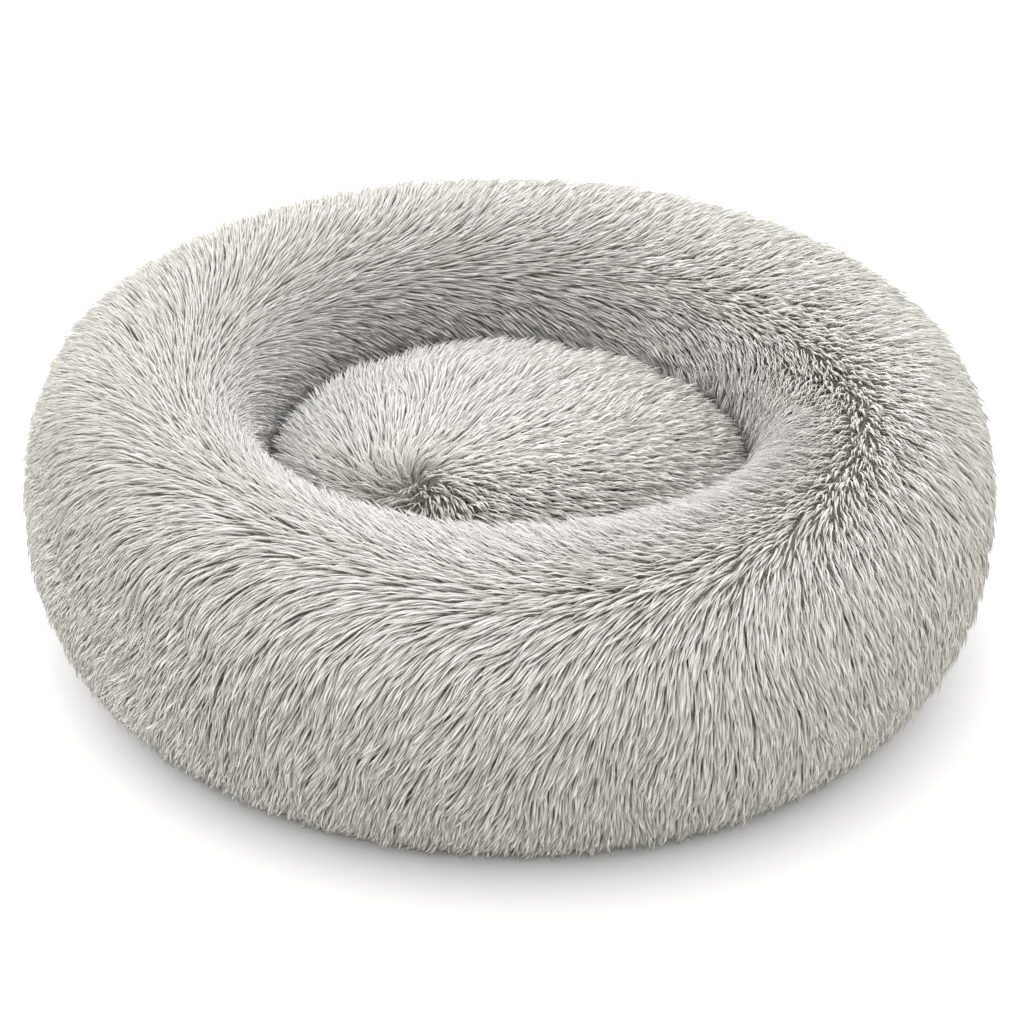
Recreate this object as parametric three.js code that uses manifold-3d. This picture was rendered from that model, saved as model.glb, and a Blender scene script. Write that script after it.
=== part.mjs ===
// Round faux-fur pet bed: a stuffed ring with a zipped fur cover, and a loose round cushion in its well.
// Millimetres, +Z up. The origin is the middle of the underside, on the floor. The front faces -Y.
// Angles go round the Z axis from +X, anticlockwise seen from above.

import * as THREE from 'three';
import { mergeVertices } from 'three/addons/utils/BufferGeometryUtils.js';
import Module from 'manifold-3d';

const wasm = await Module();
wasm.setup();

// --- Driving dimensions -------------------------------------------------------------------------

const RING_OUTER_RADIUS = 294;
const WELL_RADIUS = 164;            // narrowest place between the ring's inner walls
const RING_HEIGHT = 192;
const RING_HALF_HEIGHT = 97;        // more than half the height, because the underside is flat
const RING_TOP_ROUNDNESS = 2.3;     // 2 is an ellipse, more is squarer
const RING_FOOT_ROUNDNESS = 2;
const RING_STEPS = 36;              // flats round the ring
const RING_SECTION_STEPS = 16;      // flats round the ring's section

const CLOTH_GAP = 0.4;              // room left between neighbouring layers
const FUR_THICKNESS = 2.5;          // backing cloth with the foot of the pile
const CASING_THICKNESS = 1.5;
const CASING_SLOT = 1;              // open line under the ring where the casing's two edges meet

const BASE_THICKNESS = 1.5;
const BASE_RADIUS = 243;
const BINDING_WIDTH = 5;
const BINDING_HEIGHT = 1.5;
const BINDING_CHAMFER = 0.4;
const WELL_TAPE_INNER_RADIUS = 199;
const WELL_TAPE_OUTER_RADIUS = 204;
const WELL_TAPE_HEIGHT = 2.2;

// The fur cover is sewn from four gores. Each seam is an angle; the gores lie between them.
const SEAM_BACK_RIGHT = 32;
const SEAM_BACK_LEFT = 118;
const SEAM_LEFT = 187;
const SEAM_FRONT = 292;
const SEAM_GAP = 0.4;

// The zip runs round the foot of the back wall. Heights are measured up that wall.
const ZIP_START = 35;
const ZIP_END = 145;
const ZIP_END_GAP = 0.1;            // degrees between the tapes and the cover
const ZIP_STEPS = 120;              // flats in a full turn, fine enough for the slider to run on
const ZIP_LINE_HEIGHT = 33;
const ZIP_CHANNEL_REACH = 10;       // in and out of the wall, past both faces of the cover
const ZIP_TAPE_WIDTH = 13;
const ZIP_TAPE_SPLIT = 0.4;
const ZIP_TAPE_OUT = -1;            // faces of the tapes, out from the wall line
const ZIP_TAPE_IN = -2.2;
const ZIP_COIL_WIDTH = 2.3;
const ZIP_COIL_OUT = 0.8;
const ZIP_COIL_IN = -0.6;
const ZIP_STOP_INSET = 2.2;         // degrees from the end of the tapes to a stop
const ZIP_STOP_ARC = 0.6;           // degrees
const ZIP_STOP_GAP = 0.08;          // degrees between a stop and the coils
const ZIP_STOP_OUT = 1.4;
const SLIDER_ARC = 2.8;             // degrees
const SLIDER_HALF_WIDTH = 6;
const SLIDER_OUT = 3;
const SLIDER_PLATE_IN = 1.2;
const SLIDER_LIP_IN = -0.6;
const SLIDER_CHANNEL_HALF_WIDTH = 2.9;
const SLIDER_CLEARANCE = 0.15;      // degrees between slider and stop
const PIN_OUT = 5.6;
const PIN_RADIUS = 0.8;
const EAR_SPACING = 3.9;            // middle of each ear from the slider's middle
const EAR_THICKNESS = 1.2;
const EAR_HEIGHT = 4;
const EAR_OUT = 7.4;
const KNUCKLE_RADIUS = 2;
const KNUCKLE_BORE_RADIUS = 1.15;
const KNUCKLE_WIDTH = 5.6;
const NECK_GAP = 0.2;               // between the knuckle's bore and the top of the neck
const NECK_HEIGHT = 2;              // from the knuckle down to the tab
const PULL_LENGTH = 25;
const PULL_WIDTH = 7;
const PULL_THICKNESS = 1.4;
const PULL_HOLE_RADIUS = 1.6;

const LABEL_ANGLE = 154;
const LABEL_ARC = 4.6;              // degrees, about 22 mm
const LABEL_BOTTOM = 6;
const LABEL_TOP = 34;
const LABEL_IN = 0.6;
const LABEL_THICKNESS = 0.8;
const LABEL_ROWS = 4;

const CUSHION_RADIUS = 142;
const CUSHION_TOP = 136;
const CUSHION_SEAM_HEIGHT = 58;
const CUSHION_BOTTOM = BASE_THICKNESS + CLOTH_GAP;
const CUSHION_ROUNDNESS = 5;
const CUSHION_STEPS = 36;
const CUSHION_PROFILE_STEPS = 7;
const CUSHION_CLOTH_THICKNESS = 1.2;
const PIPING_RADIUS = 2;

const FAR = 700;                    // reach of cutting blocks, well past the whole bed
const OVERLAP = 1;                  // how far joined and cutting solids run past each other
const STRIP_ROWS = 2;               // flats up the height of a strip of wall
const SECTOR_STEPS = 12;
const ROD_STEPS = 16;
const WELD_DISTANCE = 1e-4;

// --- Materials ----------------------------------------------------------------------------------

const fur = { color: 0xd2d1cb, roughness: 0.95, metalness: 0 };
const baseCloth = { color: 0x8f8d88, roughness: 0.85, metalness: 0 };
const bindingCloth = { color: 0xa9a7a1, roughness: 0.85, metalness: 0 };
const casingCloth = { color: 0xefeeea, roughness: 0.9, metalness: 0 };
const fibrefill = { color: 0xf6f5f2, roughness: 1, metalness: 0 };
const zipTape = { color: 0xbab8b1, roughness: 0.8, metalness: 0 };
const zipCoil = { color: 0xb0aea8, roughness: 0.45, metalness: 0 };
const zipMetal = { color: 0x9a9a98, roughness: 0.35, metalness: 0.9 };
const labelCloth = { color: 0xf4f3ef, roughness: 0.7, metalness: 0 };

// --- Solids -------------------------------------------------------------------------------------

const degrees = THREE.MathUtils.degToRad;

// Welds a geometry's shared corners and drops the flat triangles left where a profile meets the axis.
function toSolid(geometry) {
  geometry.deleteAttribute('normal');
  geometry.deleteAttribute('uv');
  const welded = mergeVertices(geometry, WELD_DISTANCE);
  const corners = welded.index.array;
  const triangles = [];
  for (let i = 0; i < corners.length; i += 3) {
    const [a, b, c] = corners.slice(i, i + 3);
    if (a !== b && b !== c && c !== a) triangles.push(a, b, c);
  }
  return new wasm.Manifold(new wasm.Mesh({
    numProp: 3,
    vertProperties: new Float32Array(welded.attributes.position.array),
    triVerts: new Uint32Array(triangles),
  }));
}

function toMesh(name, solid, finish) {
  const { vertProperties, triVerts } = solid.getMesh();
  const geometry = new THREE.BufferGeometry();
  geometry.setAttribute('position', new THREE.BufferAttribute(vertProperties, 3));
  geometry.setIndex(new THREE.BufferAttribute(triVerts, 1));
  geometry.computeVertexNormals();
  const mesh = new THREE.Mesh(geometry, new THREE.MeshStandardMaterial(finish));
  mesh.name = name;
  return mesh;
}

// Turns a profile of [radius, height] pairs round the Z axis. The profile runs anticlockwise.
function turned(profile, steps) {
  const points = profile.map(([radius, height]) => new THREE.Vector2(radius, height));
  return toSolid(new THREE.LatheGeometry(points, steps).rotateX(Math.PI / 2));
}

// A ring whose section is a closed profile.
function turnedRing(profile, steps) {
  return turned([...profile, profile[0]], steps);
}

// An upright block over the sector between two angles, from low to high.
function sector(from, to, low, high) {
  const shape = new THREE.Shape();
  shape.moveTo(0, 0);
  shape.lineTo(FAR * Math.cos(degrees(from)), FAR * Math.sin(degrees(from)));
  shape.absarc(0, 0, FAR, degrees(from), degrees(to), false);
  shape.closePath();
  const geometry = new THREE.ExtrudeGeometry(shape, {
    depth: high - low,
    bevelEnabled: false,
    curveSegments: SECTOR_STEPS,
  });
  return toSolid(geometry.translate(0, 0, low));
}

// A block that holds everything between two heights.
function slab(low, high) {
  const geometry = new THREE.BoxGeometry(2 * FAR, 2 * FAR, high - low);
  return toSolid(geometry.translate(0, 0, (low + high) / 2));
}

// --- The ring's section -------------------------------------------------------------------------

const RING_HALF_WIDTH = (RING_OUTER_RADIUS - WELL_RADIUS) / 2;
const RING_CENTRE_RADIUS = (RING_OUTER_RADIUS + WELL_RADIUS) / 2;
const RING_CENTRE_HEIGHT = RING_HEIGHT - RING_HALF_HEIGHT;

const signedPower = (value, power) => Math.sign(value) * Math.abs(value) ** power;

// The whole section, grown or shrunk by an offset.
function ringSection(offset) {
  const points = [];
  for (let i = 0; i < RING_SECTION_STEPS; i += 1) {
    const turn = (2 * Math.PI * i) / RING_SECTION_STEPS;
    const roundness = turn < Math.PI ? RING_TOP_ROUNDNESS : RING_FOOT_ROUNDNESS;
    const across = signedPower(Math.cos(turn), 2 / roundness);
    const up = signedPower(Math.sin(turn), 2 / roundness);
    points.push([
      RING_CENTRE_RADIUS + (RING_HALF_WIDTH + offset) * across,
      RING_CENTRE_HEIGHT + (RING_HALF_HEIGHT + offset) * up,
    ]);
  }
  return points;
}

// Radius of the outer wall at a height.
function wallRadius(height) {
  const roundness = height > RING_CENTRE_HEIGHT ? RING_TOP_ROUNDNESS : RING_FOOT_ROUNDNESS;
  const up = Math.abs((height - RING_CENTRE_HEIGHT) / RING_HALF_HEIGHT);
  const across = (1 - up ** roundness) ** (1 / roundness);
  return RING_CENTRE_RADIUS + RING_HALF_WIDTH * across;
}

// A strip of the outer wall between two heights, from one depth to another, round part of a turn.
function wallStrip(low, high, inside, outside, from, to, rows = STRIP_ROWS) {
  const outer = [];
  const inner = [];
  for (let i = 0; i <= rows; i += 1) {
    const height = low + ((high - low) * i) / rows;
    outer.push([wallRadius(height) + outside, height]);
    inner.unshift([wallRadius(height) + inside, height]);
  }
  const band = turnedRing([...outer, ...inner], ZIP_STEPS);
  return band.intersect(sector(from, to, low - OVERLAP, high + OVERLAP));
}

// --- Ring pieces --------------------------------------------------------------------------------

function zipChannel() {
  const half = ZIP_TAPE_WIDTH + ZIP_TAPE_SPLIT / 2 + CLOTH_GAP;
  return wallStrip(
    ZIP_LINE_HEIGHT - half, ZIP_LINE_HEIGHT + half, -ZIP_CHANNEL_REACH, ZIP_CHANNEL_REACH,
    ZIP_START - ZIP_END_GAP, ZIP_END + ZIP_END_GAP);
}

function ringCoverPieces() {
  const skin = turnedRing(ringSection(0), RING_STEPS)
    .subtract(turnedRing(ringSection(-FUR_THICKNESS), RING_STEPS))
    .intersect(slab(BASE_THICKNESS + CLOTH_GAP, FAR))
    .subtract(zipChannel());
  const gores = [
    ['ring_cover_back_right', SEAM_BACK_RIGHT, SEAM_BACK_LEFT],
    ['ring_cover_back_left', SEAM_BACK_LEFT, SEAM_LEFT],
    ['ring_cover_front_left', SEAM_LEFT, SEAM_FRONT],
    ['ring_cover_front_right', SEAM_FRONT, SEAM_BACK_RIGHT + 360],
  ];
  const seam = THREE.MathUtils.radToDeg(SEAM_GAP / 2 / WELL_RADIUS);
  return gores.map(([name, from, to]) =>
    toMesh(name, skin.intersect(sector(from + seam, to - seam, -OVERLAP, FAR)), fur));
}

function ringCasing() {
  const outside = -FUR_THICKNESS - CLOTH_GAP;
  const inside = outside - CASING_THICKNESS;
  const foot = BASE_THICKNESS + CLOTH_GAP;
  const slot = turnedRing([
    [RING_CENTRE_RADIUS - CASING_SLOT / 2, -OVERLAP],
    [RING_CENTRE_RADIUS + CASING_SLOT / 2, -OVERLAP],
    [RING_CENTRE_RADIUS + CASING_SLOT / 2, RING_CENTRE_HEIGHT / 2],
    [RING_CENTRE_RADIUS - CASING_SLOT / 2, RING_CENTRE_HEIGHT / 2],
  ], RING_STEPS);
  const hollow = turnedRing(ringSection(inside), RING_STEPS)
    .intersect(slab(foot + CASING_THICKNESS, FAR));
  const solid = turnedRing(ringSection(outside), RING_STEPS)
    .intersect(slab(foot, FAR))
    .subtract(hollow)
    .subtract(slot);
  return toMesh('ring_casing', solid, casingCloth);
}

function ringFill() {
  const offset = -FUR_THICKNESS - CASING_THICKNESS - 2 * CLOTH_GAP;
  const foot = BASE_THICKNESS + CASING_THICKNESS + 2 * CLOTH_GAP;
  const solid = turnedRing(ringSection(offset), RING_STEPS).intersect(slab(foot, FAR));
  return toMesh('ring_fill', solid, fibrefill);
}

function basePanel() {
  const solid = turned([
    [0, 0],
    [BASE_RADIUS, 0],
    [BASE_RADIUS, BASE_THICKNESS],
    [0, BASE_THICKNESS],
  ], RING_STEPS);
  return toMesh('base_panel', solid, baseCloth);
}

function baseBinding() {
  const inner = BASE_RADIUS + CLOTH_GAP;
  const outer = inner + BINDING_WIDTH;
  const solid = turnedRing([
    [inner, 0],
    [outer - BINDING_CHAMFER, 0],
    [outer, BINDING_CHAMFER],
    [outer, BINDING_HEIGHT - BINDING_CHAMFER],
    [outer - BINDING_CHAMFER, BINDING_HEIGHT],
    [inner, BINDING_HEIGHT],
  ], RING_STEPS);
  return toMesh('base_binding', solid, bindingCloth);
}

function wellSeamTape() {
  const foot = BASE_THICKNESS + CLOTH_GAP;
  const solid = turnedRing([
    [WELL_TAPE_INNER_RADIUS, foot],
    [WELL_TAPE_OUTER_RADIUS, foot],
    [WELL_TAPE_OUTER_RADIUS, foot + WELL_TAPE_HEIGHT],
    [WELL_TAPE_INNER_RADIUS, foot + WELL_TAPE_HEIGHT],
  ], RING_STEPS);
  return toMesh('well_seam_tape', solid, bindingCloth);
}

function careLabel() {
  const solid = wallStrip(
    LABEL_BOTTOM, LABEL_TOP, LABEL_IN, LABEL_IN + LABEL_THICKNESS,
    LABEL_ANGLE - LABEL_ARC / 2, LABEL_ANGLE + LABEL_ARC / 2, LABEL_ROWS);
  return toMesh('care_label', solid, labelCloth);
}

// --- Zip ----------------------------------------------------------------------------------------

const STOP_START = ZIP_START + ZIP_STOP_INSET;
const STOP_END = ZIP_END - ZIP_STOP_INSET;
const SLIDER_ANGLE = STOP_END - SLIDER_CLEARANCE - SLIDER_ARC / 2;

function zipTapes() {
  const near = ZIP_TAPE_SPLIT / 2;
  const far = near + ZIP_TAPE_WIDTH;
  const line = ZIP_LINE_HEIGHT;
  const upper = wallStrip(line + near, line + far, ZIP_TAPE_IN, ZIP_TAPE_OUT, ZIP_START, ZIP_END);
  const lower = wallStrip(line - far, line - near, ZIP_TAPE_IN, ZIP_TAPE_OUT, ZIP_START, ZIP_END);
  return [toMesh('zip_tape_upper', upper, zipTape), toMesh('zip_tape_lower', lower, zipTape)];
}

function zipCoils() {
  const near = ZIP_TAPE_SPLIT / 2;
  const far = near + ZIP_COIL_WIDTH;
  const line = ZIP_LINE_HEIGHT;
  const upper = wallStrip(line + near, line + far, ZIP_COIL_IN, ZIP_COIL_OUT, STOP_START, STOP_END);
  const lower = wallStrip(line - far, line - near, ZIP_COIL_IN, ZIP_COIL_OUT, STOP_START, STOP_END);
  return [toMesh('zip_coil_upper', upper, zipCoil), toMesh('zip_coil_lower', lower, zipCoil)];
}

function zipStops() {
  const half = ZIP_TAPE_SPLIT / 2 + ZIP_COIL_WIDTH;
  const low = ZIP_LINE_HEIGHT - half;
  const high = ZIP_LINE_HEIGHT + half;
  const stop = (from) => wallStrip(low, high, ZIP_COIL_IN, ZIP_STOP_OUT, from, from + ZIP_STOP_ARC);
  return [
    toMesh('zip_bottom_stop', stop(STOP_START - ZIP_STOP_GAP - ZIP_STOP_ARC), zipMetal),
    toMesh('zip_top_stop', stop(STOP_END + ZIP_STOP_GAP), zipMetal),
  ];
}

// A rod along Y, centred on the middle of the slider.
function rod(radius, length, x, z) {
  return toSolid(new THREE.CylinderGeometry(radius, radius, length, ROD_STEPS).translate(x, 0, z));
}

function block(xSize, ySize, zSize, x, y, z) {
  return toSolid(new THREE.BoxGeometry(xSize, ySize, zSize).translate(x, y, z));
}

const PIN_REACH = wallRadius(ZIP_LINE_HEIGHT) + PIN_OUT;

// The slider is a channel that wraps both coils, with two ears and the pin of the pull tab.
function zipSlider() {
  const line = ZIP_LINE_HEIGHT;
  const half = SLIDER_HALF_WIDTH;
  const channel = SLIDER_CHANNEL_HALF_WIDTH;
  const at = (height, out) => [wallRadius(height) + out, height];
  const ring = turnedRing([
    at(line - half, SLIDER_LIP_IN),
    at(line - half, SLIDER_OUT),
    at(line, SLIDER_OUT),
    at(line + half, SLIDER_OUT),
    at(line + half, SLIDER_LIP_IN),
    at(line + channel, SLIDER_LIP_IN),
    at(line + channel, SLIDER_PLATE_IN),
    at(line, SLIDER_PLATE_IN),
    at(line - channel, SLIDER_PLATE_IN),
    at(line - channel, SLIDER_LIP_IN),
  ], ZIP_STEPS);
  const plate = ring.intersect(sector(-SLIDER_ARC / 2, SLIDER_ARC / 2, 0, RING_HEIGHT));
  const earIn = SLIDER_OUT - OVERLAP;
  const earMiddle = wallRadius(line) + (earIn + EAR_OUT) / 2;
  const ear = (side) => block(EAR_OUT - earIn, EAR_THICKNESS, EAR_HEIGHT, earMiddle, side * EAR_SPACING, line);
  const solid = plate
    .add(ear(1))
    .add(ear(-1))
    .add(rod(PIN_RADIUS, 2 * EAR_SPACING, PIN_REACH, line));
  const mesh = toMesh('zip_slider', solid, zipMetal);
  mesh.rotation.z = degrees(SLIDER_ANGLE);
  return mesh;
}

// The pull tab hangs from the slider's pin by a curled knuckle.
function zipPull() {
  const line = ZIP_LINE_HEIGHT;
  const neckTop = line - KNUCKLE_BORE_RADIUS - NECK_GAP;
  const tabTop = line - KNUCKLE_RADIUS - NECK_HEIGHT;
  const neckBottom = tabTop - OVERLAP;
  const tabBottom = line - PULL_LENGTH;
  const neck = block(
    PULL_THICKNESS, KNUCKLE_WIDTH, neckTop - neckBottom, PIN_REACH, 0, (neckTop + neckBottom) / 2);
  const tab = block(
    PULL_THICKNESS, PULL_WIDTH, tabTop - tabBottom, PIN_REACH, 0, (tabTop + tabBottom) / 2);
  const holeLength = PULL_THICKNESS + 2 * OVERLAP;
  const hole = toSolid(
    new THREE.CylinderGeometry(PULL_HOLE_RADIUS, PULL_HOLE_RADIUS, holeLength, ROD_STEPS)
      .rotateZ(Math.PI / 2)
      .translate(PIN_REACH, 0, tabBottom + PULL_WIDTH / 2));
  const solid = rod(KNUCKLE_RADIUS, KNUCKLE_WIDTH, PIN_REACH, line)
    .add(neck)
    .add(tab)
    .subtract(rod(KNUCKLE_BORE_RADIUS, KNUCKLE_WIDTH + 2 * OVERLAP, PIN_REACH, line))
    .subtract(hole);
  const mesh = toMesh('zip_pull', solid, zipMetal);
  mesh.rotation.z = degrees(SLIDER_ANGLE);
  return mesh;
}

// --- Cushion ------------------------------------------------------------------------------------

// Half of the cushion's outline, from the rim to the axis, shrunk by an offset. side is 1 or -1.
function cushionArc(side, offset) {
  const reach = side > 0 ? CUSHION_TOP - CUSHION_SEAM_HEIGHT : CUSHION_SEAM_HEIGHT - CUSHION_BOTTOM;
  const points = [];
  for (let i = 0; i <= CUSHION_PROFILE_STEPS; i += 1) {
    const turn = (Math.PI / 2) * (i / CUSHION_PROFILE_STEPS);
    const across = Math.cos(turn) ** (2 / CUSHION_ROUNDNESS);
    const up = Math.sin(turn) ** (2 / CUSHION_ROUNDNESS);
    const last = i === CUSHION_PROFILE_STEPS;
    points.push([
      last ? 0 : (CUSHION_RADIUS - offset) * across,
      CUSHION_SEAM_HEIGHT + side * (reach - offset) * up,
    ]);
  }
  return points;
}

function cushionWhole(topOffset, bottomOffset) {
  const top = cushionArc(1, topOffset);
  const bottom = cushionArc(-1, bottomOffset).reverse();
  return turned([...bottom, ...top], CUSHION_STEPS);
}

function cushionPieces() {
  const seamHalf = CLOTH_GAP / 2;
  const top = cushionWhole(0, 0)
    .subtract(cushionWhole(FUR_THICKNESS, FUR_THICKNESS))
    .intersect(slab(CUSHION_SEAM_HEIGHT + seamHalf, FAR));
  const bottom = cushionWhole(0, 0)
    .subtract(cushionWhole(CUSHION_CLOTH_THICKNESS, CUSHION_CLOTH_THICKNESS))
    .intersect(slab(-1, CUSHION_SEAM_HEIGHT - seamHalf));
  const fill = cushionWhole(FUR_THICKNESS + CLOTH_GAP, CUSHION_CLOTH_THICKNESS + CLOTH_GAP);
  return [
    toMesh('cushion_top_cover', top, fur),
    toMesh('cushion_bottom_cover', bottom, baseCloth),
    toMesh('cushion_fill', fill, fibrefill),
  ];
}

function cushionPiping() {
  const sides = 6;
  const centre = CUSHION_RADIUS + CLOTH_GAP + PIPING_RADIUS;
  const profile = [];
  for (let i = 0; i < sides; i += 1) {
    const turn = (2 * Math.PI * i) / sides;
    profile.push([
      centre + PIPING_RADIUS * Math.cos(turn),
      CUSHION_SEAM_HEIGHT + PIPING_RADIUS * Math.sin(turn),
    ]);
  }
  return toMesh('cushion_piping', turnedRing(profile, CUSHION_STEPS), bindingCloth);
}

// --- Assembly -----------------------------------------------------------------------------------

const ring = new THREE.Group();
ring.add(
  basePanel(),
  baseBinding(),
  wellSeamTape(),
  ringFill(),
  ringCasing(),
  ...ringCoverPieces(),
  ...zipTapes(),
  ...zipCoils(),
  ...zipStops(),
  careLabel(),
);

const slider = new THREE.Group();
slider.add(zipSlider(), zipPull());

const cushion = new THREE.Group();
cushion.add(...cushionPieces(), cushionPiping());

const group = new THREE.Group();
group.add(ring, slider, cushion);

export default group;
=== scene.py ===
"""Looks of a round faux-fur pet bed: a stuffed ring in a zipped long-pile cover, with a loose cushion."""

import math

import bmesh
import bpy
import numpy as np
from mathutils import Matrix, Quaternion, Vector
from mathutils.bvhtree import BVHTree


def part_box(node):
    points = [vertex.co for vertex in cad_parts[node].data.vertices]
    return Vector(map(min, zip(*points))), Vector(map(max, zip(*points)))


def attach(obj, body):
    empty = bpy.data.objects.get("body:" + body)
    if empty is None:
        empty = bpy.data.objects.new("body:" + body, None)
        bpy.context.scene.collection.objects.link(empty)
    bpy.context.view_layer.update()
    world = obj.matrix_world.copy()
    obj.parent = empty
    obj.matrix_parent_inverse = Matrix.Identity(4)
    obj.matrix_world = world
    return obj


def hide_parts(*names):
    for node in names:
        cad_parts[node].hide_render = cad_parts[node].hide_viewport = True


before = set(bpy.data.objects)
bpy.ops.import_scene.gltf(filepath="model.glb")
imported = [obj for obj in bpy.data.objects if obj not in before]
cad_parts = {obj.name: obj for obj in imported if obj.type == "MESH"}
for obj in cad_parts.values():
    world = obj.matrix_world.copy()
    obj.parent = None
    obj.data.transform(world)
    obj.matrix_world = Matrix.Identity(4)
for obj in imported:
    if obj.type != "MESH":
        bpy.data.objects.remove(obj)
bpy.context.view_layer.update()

# Camera and light.
# A long lens looks down on the front of the bed from about 30 degrees, as in a catalogue. A white dome that
# is brightest above and behind on the left, a large soft box there and a weaker one in front leave the bed
# and the plain pale floor almost shadowless.
CAMERA_RISE = math.radians(29.9)
CAMERA_DISTANCE = 1.91
CAMERA_LENS = 106.9
CAMERA_ROLL = math.radians(1.3)
CAMERA_TARGET = Vector((0.0018, 0, 0.0773))
FLOOR_HALF_WIDTH = 8.0
DOME_BRIGHTEST = (-0.41, 0.58, 0.70)
DOME_LEVELS = (0.97, 1.87)
BED_MIDDLE = (0, 0, 0.1)


def srgb(code):
    """The linear colour of an sRGB hex value, with an alpha of 1."""
    steps = [int(code[i:i + 2], 16) / 255 for i in (0, 2, 4)]
    return (*[c / 12.92 if c <= 0.04045 else ((c + 0.055) / 1.055) ** 2.4 for c in steps], 1)


def node(tree, kind, sockets=None, **settings):
    """Adds a node with these settings.

    sockets maps an input's name or number to a value, or to a socket to link."""
    made = tree.nodes.new(kind)
    for key, value in settings.items():
        setattr(made, key, value)
    for key, value in (sockets or {}).items():
        if isinstance(value, bpy.types.NodeSocket):
            tree.links.new(value, made.inputs[key])
        else:
            made.inputs[key].default_value = value
    return made


def material(name, **settings):
    """A new material and its one Principled shader, with these sockets set on it."""
    made = bpy.data.materials.new(name)
    made.use_nodes = True
    shader = made.node_tree.nodes["Principled BSDF"]
    for key, value in settings.items():
        shader.inputs[key.replace("_", " ")].default_value = value
    return made, shader


def soft_box(name, place, aim, size, watts):
    """A round soft box at a place, turned to shine at another."""
    lamp = bpy.data.lights.new(name, "AREA")
    lamp.shape = "DISK"
    lamp.size = size
    lamp.energy = watts
    holder = bpy.data.objects.new(name, lamp)
    holder.location = place
    holder.rotation_euler = (Vector(place) - Vector(aim)).to_track_quat("Z", "Y").to_euler()
    bpy.context.scene.collection.objects.link(holder)


camera = bpy.data.objects.new("camera", bpy.data.cameras.new("camera"))
bpy.context.scene.collection.objects.link(camera)
camera.data.lens = CAMERA_LENS
away = Vector((0, -math.cos(CAMERA_RISE), math.sin(CAMERA_RISE)))
camera.location = CAMERA_TARGET + away * CAMERA_DISTANCE
camera.rotation_euler = (away.to_track_quat("Z", "Y") @ Quaternion((0, 0, 1), CAMERA_ROLL)).to_euler()
bpy.context.scene.camera = camera

soft_box("overhead_box", place=(-0.8, 0.9, 2.0), aim=BED_MIDDLE, size=2.4, watts=5)
soft_box("front_box", place=(-0.9, -2.2, 1.7), aim=BED_MIDDLE, size=1.4, watts=1)

dome = bpy.data.worlds.new("white dome")
dome.use_nodes = True
tree = dome.node_tree
sky = node(tree, "ShaderNodeTexCoord")
toward = node(tree, "ShaderNodeVectorMath", {0: sky.outputs["Generated"], 1: DOME_BRIGHTEST},
              operation="DOT_PRODUCT")
level = node(tree, "ShaderNodeMapRange", {"Value": toward.outputs["Value"], "From Min": -1.0,
                                          "To Min": DOME_LEVELS[0], "To Max": DOME_LEVELS[1]})
tree.nodes["Background"].inputs["Color"].default_value = srgb("ffffff")
tree.links.new(level.outputs["Result"], tree.nodes["Background"].inputs["Strength"])
bpy.context.scene.world = dome
bpy.context.scene.view_settings.view_transform = "Standard"

sheet = bmesh.new()
bmesh.ops.create_grid(sheet, x_segments=1, y_segments=1, size=FLOOR_HALF_WIDTH)
floor = bpy.data.objects.new("floor", bpy.data.meshes.new("floor"))
sheet.to_mesh(floor.data)
sheet.free()
bpy.context.scene.collection.objects.link(floor)
# Flat white paint: even and dull, so that the floor shows no gloss.
paint, _ = material("matt white floor paint", Base_Color=srgb("fafaf9"), Roughness=0.9)
floor.data.materials.append(paint)

# Ring backing.
# The knitted backing of the ring's fur cover, sewn from four gores and stuffed tight round a white casing.
# Between its seams the stuffing pushes it out, and it lies flat on the base cloth.
GORE_SEAMS = {"back_right": (32, 118), "back_left": (118, 187),
              "front_left": (187, 292), "front_right": (292, 392)}
PILE_RISE = 0.0035
RING_SWELL = 0.003
RING_ACROSS = 0.130
RING_HALF_HEIGHT = 0.097
RING_TOP_ROUNDNESS = 2.3
RING_FOOT_ROUNDNESS = 2.0
RING_FOOT = 0.0022
SIDE_PRESS = 0.0095
RIGHT_PRESS = 0.004
LEFT_PRESS = 0.006
LEFT_PRESS_BEARING = 3.93
LEFT_PRESS_ARC = 0.8
FRONT_SAG = 0.0087
FRONT_SAG_ARC = 0.785
RING_TURN_STEPS = 192
RING_SECTION_STEPS = 56
STUFFING_PRESSURE = 4
STUFFING_STEPS = 20

covers = ["ring_cover_" + gore for gore in GORE_SEAMS]
cover_tops = [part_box(cover)[1] for cover in covers]
RING_REACH = max(high.x for high in cover_tops)
RING_TOP = max(high.z for high in cover_tops)
RING_MIDDLE = RING_REACH - RING_ACROSS / 2
RING_LEVEL = RING_TOP - RING_HALF_HEIGHT


def ring_outline(inset, steps=RING_SECTION_STEPS):
    """The ring's section as (radius, height) rows, anticlockwise from the outermost point."""
    turn = np.linspace(0, 2 * math.pi, steps, endpoint=False)
    power = 2 / np.where(turn < math.pi, RING_TOP_ROUNDNESS, RING_FOOT_ROUNDNESS)
    across = np.sign(np.cos(turn)) * np.abs(np.cos(turn)) ** power
    up = np.sign(np.sin(turn)) * np.abs(np.sin(turn)) ** power
    radius = RING_MIDDLE + (RING_ACROSS / 2 - inset) * across
    height = RING_LEVEL + (RING_HALF_HEIGHT - inset) * up
    return np.stack([radius, np.maximum(height, RING_FOOT)], 1)


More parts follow.
